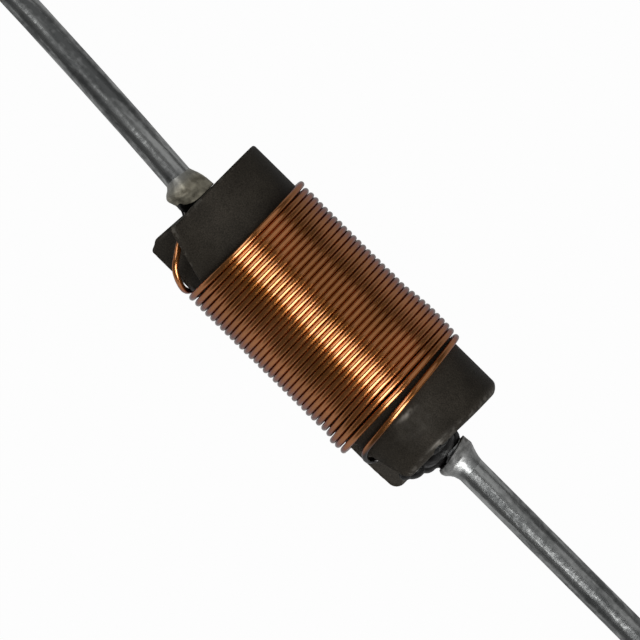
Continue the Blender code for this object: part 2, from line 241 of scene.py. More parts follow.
class StageSettings(bpy.types.PropertyGroup):
    """The camera, the floor and the lamps."""

    view_width: length("View width", 17.616 * MM, "Width of the picture at the core's axis")
    camera_distance: length("Camera distance", 600 * MM, "From the core's axis to the camera")
    camera_turn: angle("Camera turn", 44.57, "Turn of the picture round the line of sight")
    camera_x: length("Camera x", -0.059 * MM, "Middle of the picture along the core")
    camera_y: length("Camera y", -0.125 * MM, "Middle of the picture across the core")
    floor_size: length("Floor size", 8.0, "Width of the floor")
    floor_colour: colour("Floor", "#707070", "The floor where the part mirrors or shades it")
    paper: length("Paper", 30 * MM, "Distance from the part at which mirrored paper turns dark")
    sky: FloatProperty(name="Sky", description="Strength of the light from all round", default=0.05)
    key: FloatProperty(name="Key", description="Power of the strip lamp, in watts", default=1.55)
    left: FloatProperty(name="Left", description="Power of the strip lamp at -X, in watts", default=0.34)
    fill: FloatProperty(name="Fill", description="Power of the side lamp, in watts", default=0.66)


def both_ends(scene):
    """The ends A and B: each one's slot, how its lead turns, and where its solder starts and stops."""
    own = (
        (scene.inductor_core, ("slot_angle", "edge")),
        (scene.inductor_leads, ("droop", "yaw", "far_yaw", "ease_start", "shift")),
        (scene.inductor_joints, ("solder_start", "solder_slant", "slant_spread", "solder_end")),
    )
    return [
        SimpleNamespace(
            letter=letter,
            side=side,
            face=side * scene.inductor_core.length / 2,
            **{name: getattr(group, f"{name}_{letter}") for group, names in own for name in names},
        )
        for letter, side in (("a", -1), ("b", 1))
    ]


def feed(node, inputs):
    """Sets each input of a node to a value, or links it to a socket or to another node's first output."""
    for name, value in inputs.items():
        if isinstance(value, bpy.types.Node):
            value = next(socket for socket in value.outputs if socket.enabled)
        if isinstance(value, bpy.types.NodeSocket):
            node.id_data.links.new(value, node.inputs[name])
        else:
            node.inputs[name].default_value = value


def add_node(tree, family, kind, inputs=None, **settings):
    """Adds a node with its settings and feeds its inputs. Its type is the family and the kind joined."""
    made = tree.nodes.new(family + kind)
    for name, value in settings.items():
        setattr(made, name, value)
    feed(made, inputs or {})
    return made


def blank_material(name, values):
    """A material, what adds nodes to it, its shader with its constant inputs, and Object coordinates."""
    made = bpy.data.materials.new(name)
    made.use_nodes = True
    shader = made.node_tree.nodes["Principled BSDF"]
    feed(shader, values)
    add = partial(add_node, made.node_tree, "ShaderNode")
    return made, add, shader, add("TexCoord").outputs["Object"]


def ferrite_material(core):
    """Nickel-zinc ferrite, pressed and sintered: a dark ceramic with a fine open grain.

    It gives a soft, almost matt streak, tiny pits and paler grey chips along the edges. Its top also has
    the same paler grey painted on as sheen and highlights beside the last turn and on rim B.
    """
    made, add, shader, place = blank_material("sintered_ferrite", {"Specular IOR Level": 0.1})
    grain_size, cloud_size, pit_depth = 0.035 * MM, 0.9 * MM, 0.006 * MM
    grain = add("TexNoise", {"Vector": place, "Scale": 1 / grain_size, "Detail": 3.0})
    cloud = add("TexNoise", {"Vector": place, "Scale": 1 / cloud_size, "Detail": 5.0})
    tones = [
        add("MapRange", {"Value": noisy, **NOISE_RANGE, "To Min": low, "To Max": high})
        for noisy, low, high in ((grain, 0.62, 1.5), (cloud, 0.72, 1.28))
    ]
    tone = add("Math", dict(enumerate(tones)), operation="MULTIPLY")
    body = add("Mix", {"Factor": 1.0, "A": core.ferrite, "B": tone}, data_type="RGBA", blend_type="MULTIPLY")
    # This attribute holds the real chips together with the painted sheen and highlights.
    wear_and_sheen = add("Attribute", attribute_name="wear_and_sheen").outputs["Fac"]
    mixed = add("Mix", {"Factor": wear_and_sheen, "A": body, "B": core.ferrite_worn_and_sheen}, data_type="RGBA")
    rough = add("MapRange", {"Value": cloud, **NOISE_RANGE, "To Min": 0.46, "To Max": 0.6})
    bump = add("Bump", {"Height": grain, "Strength": 0.5, "Distance": pit_depth})
    feed(shader, {"Base Color": mixed, "Roughness": rough, "Normal": bump})
    return made


def enamel_material(winding):
    """Polyurethane-enamelled copper: drawn copper under a clear amber lacquer.

    It gives sharp orange highlights on each turn, and brown where nothing bright is mirrored. Its ends are
    darkened: at A where adhesive covers the wire, and at B with painted shade where it dives into the slot.
    """
    metal = {"Metallic": 0.92, "Specular Tint": winding.enamel_edge}
    lacquer = {"Coat Weight": 0.9, "Coat Roughness": 0.09, "Coat IOR": 1.6}
    made, add, shader, place = blank_material("enamelled_copper", metal | lacquer)
    patch_size, fine_size = 1.3 * MM, 0.12 * MM
    patch = add("TexNoise", {"Vector": place, "Scale": 1 / patch_size, "Detail": 4.0})
    fine = add("TexNoise", {"Vector": place, "Scale": 1 / fine_size, "Detail": 2.0})
    tone = add("MapRange", {"Value": patch, "From Min": 0.35, "From Max": 0.65})
    shade = add("Mix", {"Factor": tone, "A": winding.enamel, "B": winding.enamel_dark}, data_type="RGBA")
    # The ends darken: at A where the wire runs into the adhesive, and at B a painted shade where it dives
    # into slot B's shadow.
    along = add("SeparateXYZ", {"Vector": place}).outputs["X"]
    both = [
        add("MapRange", {"Value": along, "From Min": clean * MM, "From Max": black * MM})
        for clean, black in ((-4.3, -4.5), (3.27, 3.42))
    ]
    soiled_and_shaded = add("Math", dict(enumerate(both)), operation="MAXIMUM")
    mixed = add("Mix", {"Factor": soiled_and_shaded, "A": shade, "B": winding.soiled_and_shaded}, data_type="RGBA")
    rough = add("MapRange", {"Value": fine, **NOISE_RANGE, "To Min": 0.2, "To Max": 0.28})
    feed(shader, {"Base Color": mixed, "Roughness": rough})
    return made


def tin_material(leads):
    """Hot-dipped tin on drawn copper wire.

    It gives a dull grey metal with bright and dark bands that run along the wire, and a few small pits.
    """
    made, add, shader, place = blank_material("hot_dipped_tin", {"Metallic": 1.0})
    band_size, spot_size, pit_depth = 0.3 * MM, 0.19 * MM, 0.035 * MM
    stretch, spot_share = 0.12, 0.4
    blend_range = {"From Min": 0.55, "From Max": 0.85}
    streaks = add("Mapping", {"Vector": place, "Scale": (stretch, 1.0, 1.0)})
    band = add("TexNoise", {"Vector": streaks, "Scale": 1 / band_size, "Detail": 2.0})
    spot = add("TexNoise", {"Vector": place, "Scale": 1 / spot_size, "Detail": 1.0})
    blend = add("Math", {0: spot, 1: spot_share, 2: band}, operation="MULTIPLY_ADD")
    tone = add("MapRange", {"Value": blend, **blend_range})
    shade = add("Mix", {"Factor": tone, "A": leads.tin_dull, "B": leads.tin}, data_type="RGBA")
    rough = add("MapRange", {"Value": blend, **blend_range, "To Min": 0.42, "To Max": 0.3})
    bump = add("Bump", {"Height": blend, "Strength": 0.75, "Distance": pit_depth})
    feed(shader, {"Base Color": shade, "Roughness": rough, "Normal": bump})
    return made


def solder_material(name, bright, dark, tin, dull, metallic):
    """Tin-lead solder, set from the melt: bright and lumpy with grainy hollows.

    Towards its thin edge it takes the colour and the roughness of the lead's tin.
    """
    made, add, shader, place = blank_material(name, {"Metallic": metallic})
    lump_size, hollow_depth = 0.22 * MM, 0.012 * MM
    thinning, thin = 5.25 * MM, 5.7 * MM
    tin_roughness = 0.38
    lump = add("TexNoise", {"Vector": place, "Scale": 1 / lump_size, "Detail": 4.0})
    tone = add("MapRange", {"Value": lump, "From Min": 0.38, "From Max": 0.6})
    shade = add("Mix", {"Factor": tone, "A": dark, "B": bright}, data_type="RGBA")
    along = add("SeparateXYZ", {"Vector": place}).outputs["X"]
    away = add("Math", {0: along}, operation="ABSOLUTE")
    fade = add("MapRange", {"Value": away, "From Min": thinning, "From Max": thin})
    mixed = add("Mix", {"Factor": fade, "A": shade, "B": tin}, data_type="RGBA")
    rough = add("MapRange", {"Value": lump, **NOISE_RANGE, "To Min": dull + 0.1, "To Max": dull - 0.1})
    faded = add("Mix", {"Factor": fade, "A": rough, "B": tin_roughness}, data_type="FLOAT")
    bump = add("Bump", {"Height": lump, "Strength": 0.5, "Distance": hollow_depth})
    feed(shader, {"Base Color": mixed, "Roughness": faded, "Normal": bump})
    return made


def adhesive_material(joints):
    """Black epoxy, cured as it ran: glossy, with a slightly uneven skin."""
    made, add, shader, place = blank_material(
        "black_epoxy", {"Specular IOR Level": 0.16, "Base Color": joints.adhesive}
    )
    skin_size, skin_depth = 0.08 * MM, 0.02 * MM
    skin = add("TexNoise", {"Vector": place, "Scale": 1 / skin_size, "Detail": 3.0})
    rough = add("MapRange", {"Value": skin, **NOISE_RANGE, "To Min": 0.3, "To Max": 0.46})
    bump = add("Bump", {"Height": skin, "Strength": 0.5, "Distance": skin_depth})
    feed(shader, {"Roughness": rough, "Normal": bump})
    return made


def add_mesh(name, verts, faces, finish):
    """A smooth mesh object at the origin."""
    mesh = bpy.data.meshes.new(name)
    mesh.from_pydata(verts, [], faces)
    mesh.update()
    mesh.shade_smooth()
    mesh.materials.append(finish)
    return add_object(name, mesh)


def hand_over(piece, node):
    """Lets a finished piece stand for its node: hides the node and hangs the piece from the root body."""
    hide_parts(node)
    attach(piece, "root")


def add_object(name, data):
    """An object at the origin with the given data, in the scene."""
    made = bpy.data.objects.new(name, data)
    bpy.context.scene.collection.objects.link(made)
    return made


def evaluated_mesh(made, name):
    """A plain mesh of an object as its modifiers leave it. The object itself goes."""
    graph = bpy.context.evaluated_depsgraph_get()
    mesh = bpy.data.meshes.new_from_object(made.evaluated_get(graph))
    mesh.name = name
    made.modifiers.clear()
    bpy.data.objects.remove(made)
    return mesh


def face_outwards(made):
    """Turns the faces of a closed shape outwards."""
    bm = bmesh.new()
    bm.from_mesh(made.data)
    bmesh.ops.recalc_face_normals(bm, faces=bm.faces)
    bm.to_mesh(made.data)
    bm.free()


def neighbours(count):
    """The number of each point of a ring, with that of the next one."""
    return [(j, (j + 1) % count) for j in range(count)]


def smooth_step(low, high, value):
    """0 below low, 1 above high and a smooth rise between them."""
    share = np.clip((value - low) / (high - low), 0, 1)
    return share * share * (3 - 2 * share)


def noise_at(points, size, seed):
    """Blender's noise at each point, from -1 to 1."""
    shift = Vector((seed, 2.3 * seed, 0.7 * seed))
    return np.array([noise.noise(Vector(p) / size + shift) for p in points])


def around(x, turn, radius):
    """A point round the core's axis."""
    return Vector((x, -radius * math.sin(turn), AXIS_HEIGHT + radius * math.cos(turn)))


def bell(value, width):
    """1 at 0, and a smooth fall to 0 on both sides of it."""
    return np.exp(-((value / width) ** 2))


def off_direction(turn, direction):
    """How far an angle lies past a direction, from minus a half turn to a half turn."""
    return (turn - direction + math.pi) % math.tau - math.pi


def core_stations(core, ends):
    """The x of each ring of the core, close together where the core shows, and the rings' radii."""
    radius = core.diameter / 2
    shown = {"a": 2.0 * MM, "b": 2.6 * MM}
    rim_steps = {"a": 10, "b": 14}
    hidden_steps = 14
    step = 0.026 * MM
    stations = []
    for end in ends:
        here = []
        for i in range(rim_steps[end.letter]):
            turn = math.pi / 2 * i / rim_steps[end.letter]
            here.append((end.edge * (1 - math.cos(turn)), radius - end.edge * (1 - math.sin(turn))))
        plain = shown[end.letter] - end.edge
        count = round(plain / step)
        here += [(end.edge + plain * i / count, radius) for i in range(count + 1)]
        stations.append([(end.face - end.side * depth, size) for depth, size in here])
    first, last = stations
    start, stop = first[-1][0], last[-1][0]
    middle = [(start + (stop - start) * i / hidden_steps, radius) for i in range(1, hidden_steps)]
    return first + middle + last[::-1]


def slot_ring(core, leads, end, depth, local_radius):
    """One ring's slot stretch, as arrays of distance across the slot, height up it, and nearness to a lip."""
    narrowest, land = 0.03 * MM, 1.2 * MM
    wall_steps, land_steps = 26, 10
    wall_crowding, land_crowding = 1.5, 1.4
    lip_width, worn, less_worn = 0.07 * MM, {"a": 0.3, "b": 1.0}, 0.12
    radius = core.diameter / 2
    rise = radius - leads.offset
    slope = core.slot_mouth / 2 / rise
    floor = min(leads.offset + rise * depth / core.slot_length, radius)
    half_width = max(slope * (radius - floor), narrowest)
    wall = half_width * (1 - (1 - np.linspace(0, 1, wall_steps + 1)) ** wall_crowding)
    outside = np.linspace(0, 1, land_steps + 1)[1:] ** land_crowding
    across = np.concatenate([wall, half_width + (land - half_width) * outside])
    across = np.concatenate([-across[:0:-1], across])
    plain = np.sqrt(np.maximum(local_radius**2 - across**2, 0))
    sunk = floor + np.abs(across) / slope
    gap = np.maximum(core.lip - np.abs(plain - sunk), 0) / core.lip
    height = np.minimum(plain, sunk) - gap * gap * core.lip / 4
    lip = bell(np.abs(across) - half_width, lip_width)
    lip *= smooth_step(core.slot_length * 1.02, core.slot_length * 0.93, depth)
    lip *= np.where(across < 0, worn[end.letter], less_worn)
    return across, height, lip


def core_rings(core, leads, ends):
    """The core's side surface as rings of points, with how near each point is to an edge."""
    arc_steps = 210
    twist_start, twist_stop = -2.4 * MM, 2.0 * MM
    rim_wear_share, rim_width = 0.25, 0.06 * MM
    rings, edges = [], []
    for x, local_radius in core_stations(core, ends):
        end = ends[0] if x < 0 else ends[1]
        depth = abs(end.face - x)
        across, height, lip = slot_ring(core, leads, end, depth, local_radius)
        share = float(smooth_step(twist_start, twist_stop, x))
        middle = ends[0].slot_angle + (ends[1].slot_angle - ends[0].slot_angle) * share
        reach = math.asin(min(across[-1] / local_radius, 1))
        arc = np.linspace(middle + reach, middle + math.tau - reach, arc_steps + 2)[1:-1]
        y = -height * math.sin(middle) - across * math.cos(middle)
        z = height * math.cos(middle) - across * math.sin(middle)
        ring = [
            np.full(len(across) + len(arc), x),
            np.concatenate([y, -local_radius * np.sin(arc)]),
            np.concatenate([z, local_radius * np.cos(arc)]) + AXIS_HEIGHT,
        ]
        rim = rim_wear_share * bell(depth - end.edge * 0.3, rim_width)
        rings.append(np.stack(ring, axis=1))
        edges.append(np.maximum(np.concatenate([lip, np.zeros(len(arc))]), rim))
    return np.array(rings), np.array(edges)


def face_unevenness(points, ends):
    """How far the pressed end faces stand out from flat ones, as a shift along X. A has uneven ears."""
    y = points[:, 1] / MM
    depth = 0.6 * MM
    at_a = smooth_step(-depth, 0.0, ends[0].face - points[:, 0])
    at_b = smooth_step(-depth, 0.0, points[:, 0] - ends[1].face)
    ears = np.interp(y, EAR_Y, EAR_OUT)
    return (at_b * smooth_step(0.0, 1.2, y) * 0.03 - at_a * ears) * MM


def rim_wear(core, points, ends):
    """How much further in the rims lie where they are rounder than elsewhere: at A on -Y, at B on +Y."""
    out = points[:, 1] / (core.diameter / 2)
    at_a = bell(points[:, 0] - ends[0].face, 0.06 * MM) * smooth_step(0.6, 0.95, -out)
    at_b = bell(points[:, 0] - ends[1].face, 0.13 * MM) * smooth_step(0.5, 0.95, out)
    return 0.03 * MM * at_a + 0.045 * MM * at_b


def painted_sheen(points):
    """How much painted sheen and highlight lies on the core beside the last turn and on rim B, on the side
    that is seen.
    """
    x, y, z = points.T / MM
    worn = sum(
        share * bell(x - at_x, size_x) * bell(y - at_y, size_y)
        for share, at_x, size_x, at_y, size_y in SHEEN_MARKS
    )
    return worn * (z > AXIS_HEIGHT / MM)


def ferrite_core(core, leads, ends):
    """The sintered rod with its two pressed wire slots, rounded rims and chipped edges."""
    face_steps = 14
    rings, edges = core_rings(core, leads, ends)
    ring_size = edges.shape[1]
    points = rings.reshape(-1, 3)
    chance = noise_at(points, 0.16 * MM, 3) + 0.5 * noise_at(points, 0.05 * MM, 8)
    chips = edges.reshape(-1) * smooth_step(0.05, 0.4, chance)
    points[:, 0] += face_unevenness(points, ends)
    inward = [0.0, 0.0, AXIS_HEIGHT] - points * [0, 1, 1]
    inward /= np.maximum(np.linalg.norm(inward, axis=1, keepdims=True), 1e-9)
    points = points + inward * (chips * core.chip + rim_wear(core, points, ends))[:, None]
    pairs = neighbours(ring_size)
    total = len(points)
    starts = range(0, total, ring_size)
    faces = [(i + j, i + k, i + ring_size + k, i + ring_size + j) for i in starts[:-1] for j, k in pairs]
    verts = [points]
    for outer, end in zip((starts[0], starts[-1]), ends):
        rim = points[outer : outer + ring_size]
        centre = np.array([rim[0][0], 0.0, AXIS_HEIGHT])
        disc = []
        for step in range(1, face_steps):
            verts.append(centre + (rim - centre) * (1 - step / face_steps))
            disc += [(outer + j, total + j, total + k, outer + k) for j, k in pairs]
            outer, total = total, total + ring_size
        verts.append(centre[None, :])
        disc += [(outer + j, total, outer + k) for j, k in pairs]
        total += 1
        faces += disc if end.side < 0 else [face[::-1] for face in disc]
    piece = add_mesh("sintered_ferrite_core", np.concatenate(verts).tolist(), faces, ferrite_material(core))
    wear_and_sheen = np.zeros(total, dtype=np.float32)
    # Chips, plus painted sheen and highlights on the seen top.
    wear_and_sheen[: len(points)] = chips + painted_sheen(points) * (0.4 + 0.5 * chance)
    piece.data.attributes.new("wear_and_sheen", "FLOAT", "POINT").data.foreach_set("value", wear_and_sheen)
    face_outwards(piece)
    hand_over(piece, "ferrite_core")


def lead_path(leads, end):
    """The lead's centre line, as (point, direction) pairs, from the bottom of its hole to its end."""
    step = leads.bend / 6
    straight = Vector((end.side, 0.0, 0.0))
    flat = math.cos(end.droop)
    turned = Vector((end.side * flat * math.cos(end.yaw), flat * math.sin(end.yaw), -math.sin(end.droop)))
    bend = straight.rotation_difference(turned)
    ease = Quaternion((0, 0, 1), end.side * (end.far_yaw - end.yaw))
    rest = leads.reach - leads.bend_start - leads.bend - end.ease_start - leads.ease
    stretches = [
        (leads.seat + leads.bend_start, Quaternion()),
        (leads.bend, bend),
        (end.ease_start, Quaternion()),
        (leads.ease, ease),
        (rest, Quaternion()),
    ]
    point = around(end.face - end.side * leads.seat, end.slot_angle, leads.offset)
    point.y += end.shift
    direction = straight
    path = [(point, direction)]
    for distance, turn in stretches:
        steps = math.ceil(distance / step)
        part_turn = Quaternion(turn.axis, turn.angle / steps)
        half_turn = Quaternion(turn.axis, turn.angle / steps / 2)
        for _ in range(steps):
            point = point + half_turn @ direction * (distance / steps)
            direction = part_turn @ direction
            path.append((point, direction))
    return path


def along_lead(leads, path, distance):
    """The point and direction of the lead at a distance out from the core's end face."""
    left = distance + leads.seat
    for (start, heading), (stop, _) in zip(path, path[1:]):
        span = (stop - start).length
        if left <= span:
            return start.lerp(stop, left / span), heading
        left -= span
    return path[-1]


def ring_point(leads, path, distance, turn, radius):
    """A point at a distance out from the end face, on a ring round the lead."""
    point, heading = along_lead(leads, path, distance)
    outwards = Vector((0.0, -math.sin(turn), math.cos(turn)))
    outwards -= heading * outwards.dot(heading)
    return point + outwards.normalized() * radius


def wire_tree():
    """A Geometry Nodes tree that sweeps a round wire along a curve, and lets it stray a little.

    A side stray moves the wire along X, as a turn strays on a winding, and an outward one lifts it off its
    core. Both follow the length of the wire, so neighbouring turns stray on their own.
    """
    tree = bpy.data.node_groups.new("wound_wire", "GeometryNodeTree")
    kinds = {
        "Geometry": ("Path",),
        "Float": ("Diameter", "Point Spacing", "Wander", "Wander Length", "Axis Height"),
        "Int": ("Sides", "Seed"),
        "Material": ("Finish",),
    }
    sockets = {
        name: tree.interface.new_socket(name, in_out="INPUT", socket_type="NodeSocket" + kind).identifier
        for kind, names in kinds.items()
        for name in names
    }
    tree.interface.new_socket("Wire", in_out="OUTPUT", socket_type="NodeSocketGeometry")
    add = partial(add_node, tree, "")
    given = add("NodeGroupInput").outputs
    even = add(
        "GeometryNodeResampleCurve", {"Curve": given["Path"], "Length": given["Point Spacing"]}, mode="LENGTH"
    )
    spot = add("GeometryNodeSplineParameter").outputs["Length"]
    share = add("ShaderNodeMath", {0: spot, 1: given["Wander Length"]}, operation="DIVIDE")
    seeded = add("ShaderNodeMath", {0: share, 1: given["Seed"]}, operation="ADD")
    stray = add("ShaderNodeTexNoise", {"W": seeded, "Scale": 1.0, "Detail": 1.0}, noise_dimensions="1D")
    sideways = add("ShaderNodeMath", {0: stray, 1: 0.5}, operation="SUBTRACT")
    along_x = add("ShaderNodeMath", {0: sideways, 1: given["Wander"]}, operation="MULTIPLY")
    green = add("FunctionNodeSeparateColor", {"Color": stray.outputs["Color"]}).outputs["Green"]
    lift = add(
        "ShaderNodeMapRange", {"Value": green, "From Min": 0.5, "From Max": 0.8, "To Max": given["Wander"]}
    )
    here = add("GeometryNodeInputPosition")
    parts = add("ShaderNodeSeparateXYZ", {"Vector": here}).outputs
    above = add("ShaderNodeMath", {0: parts["Z"], 1: given["Axis Height"]}, operation="SUBTRACT")
    outward = add("ShaderNodeCombineXYZ", {"Y": parts["Y"], "Z": above})
    unit = add("ShaderNodeVectorMath", {0: outward}, operation="NORMALIZE")
    raised = add("ShaderNodeVectorMath", {0: unit, "Scale": lift}, operation="SCALE")
    moved = add("ShaderNodeCombineXYZ", {"X": along_x})
    offset = add("ShaderNodeVectorMath", {0: raised, 1: moved}, operation="ADD")
    strayed = add("GeometryNodeSetPosition", {"Geometry": even, "Offset": offset})
    radius = add("ShaderNodeMath", {0: given["Diameter"], 1: 0.5}, operation="MULTIPLY")
    profile = add(
        "GeometryNodeCurvePrimitiveCircle", {"Resolution": given["Sides"], "Radius": radius}, mode="RADIUS"
    )
    swept = add("GeometryNodeCurveToMesh", {"Curve": strayed, "Profile Curve": profile, "Fill Caps": True})
    smooth = add("GeometryNodeSetShadeSmooth", {"Geometry": swept})
    real = add("GeometryNodeRealizeInstances", {"Geometry": smooth})
    coated = add("GeometryNodeSetMaterial", {"Geometry": real, "Material": given["Finish"]})
    add("NodeGroupOutput", {"Wire": coated})
    return tree, sockets


def swept_wire(name, points, finish, sizes, wander, wander_length, seed):
    """A wire along a row of points, as a plain mesh that the wire tree has made."""
    curve = bpy.data.curves.new(name + "_path", "CURVE")
    curve.dimensions = "3D"
    spline = curve.splines.new("POLY")
    spline.points.add(len(points) - 1)
    for target, point in zip(spline.points, points):
        target.co = (*point, 1.0)
    guide = add_object(name + "_path", curve)
    tree, sockets = wire_tree()
    modifier = guide.modifiers.new("wound_wire", "NODES")
    modifier.node_group = tree
    values = {
        "Diameter": sizes.diameter,
        "Sides": sizes.sides,
        "Point Spacing": sizes.point_spacing,
        "Wander": wander,
        "Wander Length": wander_length,
        "Axis Height": AXIS_HEIGHT,
        "Seed": seed,
        "Finish": finish,
    }
    for key, value in values.items():
        modifier[sockets[key]] = value
    return add_object(name, evaluated_mesh(guide, name))


def smooth_run(controls, step):
    """Points of a smooth line through controls of (x, angle, radius), without the first and last control."""
    spans = [(around(*b) - around(*a)).length for a, b in zip(controls, controls[1:])]
    slopes = [(b - a) / span for a, b, span in zip(controls, controls[1:], spans)]
    tangents = [
        (before * next_span + after * last_span) / (last_span + next_span)
        for before, after, last_span, next_span in zip(slopes, slopes[1:], spans, spans[1:])
    ]
    run = []
    for i, (leave, arrive) in enumerate(zip(tangents, tangents[1:])):
        start, stop, span = controls[i + 1], controls[i + 2], spans[i + 1]
        count = math.ceil(span / step)
        for f in (k / count for k in range(count)):
            blend = start * (1 + 2 * f) * (1 - f) ** 2 + stop * f * f * (3 - 2 * f)
            lean = leave * f * (1 - f) ** 2 - arrive * f * f * (1 - f)
            run.append(blend + lean * span)
    return run


def slot_run(core, winding, leads, joints, end, laps):
    """The wire's way from inside the solder up through the slot, as controls of (x, angle, radius)."""
    corner = 0.12 * MM
    inside, sunk = 0.3 * MM, 0.12 * MM
    path = lead_path(leads, end)
    clear = leads.diameter / 2 + joints.wire_gap + winding.diameter / 2
    controls = []
    for further, deeper in ((inside, sunk), (0.0, 0.0)):
        start = end.solder_start + end.solder_slant + further
        met = ring_point(leads, path, start, end.slot_angle, clear - deeper)
        above = met.z - AXIS_HEIGHT
        controls.append(Vector((met.x, math.atan2(-met.y, above), math.hypot(met.y, above))))
    controls.append(Vector((end.face + end.side * corner, end.slot_angle, leads.offset + clear)))
    for share, degrees, height in CROSSINGS[end.letter]:
        x = end.face - end.side * core.slot_length * share
        turn = end.slot_angle + math.radians(degrees)
        controls.append(Vector((x, turn, core.diameter / 2 + height * MM)))
    return [control + Vector((0.0, math.tau * laps, 0.0)) for control in controls]


def helix_control(core, winding, ends, turn, last_turn):
    """The wire's (x, angle, radius) at a number of turns from its first pass over the top."""
    pitch = winding.diameter + winding.spacing
    first_x = ends[0].face + winding.margin
    to_go = last_turn - turn
    out = math.sin(math.tau * turn)
    front, back = max(0.0, out), max(0.0, -out)  # how far on the -Y and the +Y side

    # The last turns open up, and lean towards B on -Y and towards A on +Y.
    quick, slow = bell(to_go, 0.35), bell(to_go, 1.9)
    lean = winding.lean * (front * bell(to_go, 0.5) - back * slow)
    last_lean = winding.lean * math.sin(math.tau * last_turn)
    slack = ends[1].face - winding.entry - (first_x + pitch * last_turn) - last_lean
    x = first_x + pitch * turn + slack * (0.5 * quick + 0.5 * slow) + lean

    # The wire comes in at a slant until its first pass over the top, with a rounded corner there.
    corner_sharpness, slant = 20, 0.13 * MM
    x -= slant * math.log1p(math.exp(-corner_sharpness * turn)) / corner_sharpness

    # On -Y the first turns lie nearer to A, and those round the third from last nearer to B.
    if turn > 0:
        crowded = 2.85
        crowd = 0.075 * bell(to_go - crowded, 1.15 if to_go < crowded else 2.6)
        x += (crowd - 0.09 * math.exp(-turn / 1.3)) * front**2 * MM

    # The wire bulges on +Y before the last turn, humps where it comes in, and sags on -Y near the end.
    bulge_x = first_x + pitch * (winding.turns - 1) - 0.85 * MM
    bulging = max(0.0, 1.0 - ((x - bulge_x) / (1.1 * MM)) ** 2)
    sagging = smooth_step(4.4, 2.6, to_go) * smooth_step(0.1, 0.7, to_go)
    lift = 0.004 * MM
    lift += winding.bulge * bulging * back**2
    lift += 0.045 * MM * bell(turn + 0.25, 0.12)
    lift += front**4 * (0.02 * MM + winding.sag * sagging)
    return Vector((x, math.tau * turn, core.diameter / 2 + winding.diameter / 2 + lift))


def wire_path(core, winding, leads, joints, ends):
    """The whole wire: up through slot A, round the core in a right-handed helix, down through slot B."""
    turn_steps = 96
    after_slot, before_slot = math.radians(96), math.radians(22)
    fine = 0.05 * MM
    rising = slot_run(core, winding, leads, joints, ends[0], -1)
    falling = slot_run(core, winding, leads, joints, ends[1], winding.turns - 1)[::-1]
    first_turn = (ends[0].slot_angle + after_slot) / math.tau - 1
    last_turn = (ends[1].slot_angle - before_slot) / math.tau + winding.turns - 1
    steps = round((last_turn - first_turn) * turn_steps)
    helix = [
        helix_control(core, winding, ends, first_turn + (last_turn - first_turn) * i / steps, last_turn)
        for i in range(steps + 1)
    ]
    way_in = smooth_run([2 * rising[0] - rising[1]] + rising + [helix[0], helix[4]], fine)
    way_out = smooth_run([helix[-5], helix[-1]] + falling + [2 * falling[-1] - falling[-2]], fine)
    return [around(*control) for control in way_in + helix[:-1] + way_out + falling[-1:]]


def solder_surface(leads, joints, end):
    """Rings of a solder joint, from its leaning face at the core out to its thin edge and back inside it."""
    side_steps, ring_steps = 84, 48
    lump_size, grain_size = 0.2 * MM, 0.09 * MM
    smooth_below = 0.06 * MM
    radius, inner = leads.diameter / 2, leads.diameter / 2 - 0.05 * MM
    seed = 3.0 + end.side
    path = lead_path(leads, end)
    heights = [height * MM for height in SOLDER_HEIGHTS[end.letter]]
    known = np.linspace(0, 1, len(heights))
    columns = []
    for turn in (math.tau * j / side_steps for j in range(side_steps)):
        slanting = bell(off_direction(turn, end.slot_angle), end.slant_spread)
        uneven = noise.noise(Vector((math.cos(turn), math.sin(turn), seed)))
        start = end.solder_start + end.solder_slant * slanting
        columns.append((turn, start, end.solder_end + 3 * joints.ripple * uneven))
    rings = []
    for share in np.linspace(0, 1, ring_steps):
        ring = []
        for turn, start, stop in columns:
            distance = start + (stop - start) * share
            grown = float(np.interp(share, known, heights))
            for centre, reach, degrees, spread, top in SOLDER_LUMPS[end.letter]:
                off = off_direction(turn, end.slot_angle + math.radians(degrees))
                grown += top * MM * bell(share - centre, reach) * bell(off, spread)
            spot = ring_point(leads, path, distance, turn, radius + grown)
            stray = noise.noise(spot / lump_size + Vector((seed, 0, 0)))
            stray += 0.5 * noise.noise(spot / grain_size + Vector((0, seed, 0)))
            grown += stray * joints.ripple * min(1.0, grown / smooth_below)
            ring.append(ring_point(leads, path, distance, turn, radius + grown))
        rings.append(ring)
    rings.append([ring_point(leads, path, end.solder_end, turn, inner) for turn, _, _ in columns])
    rings.append([ring_point(leads, path, start, turn, inner) for turn, start, _ in columns])
    return rings


def looped_rings(name, rings, finish):
    """A closed skin through rings, the last of which joins the first."""
    size = len(rings[0])
    faces = [
        (low * size + j, low * size + k, high * size + k, high * size + j)
        for low, high in neighbours(len(rings))
        for j, k in neighbours(size)
    ]
    made = add_mesh(name, [point for ring in rings for point in ring], faces, finish)
    face_outwards(made)
    return made


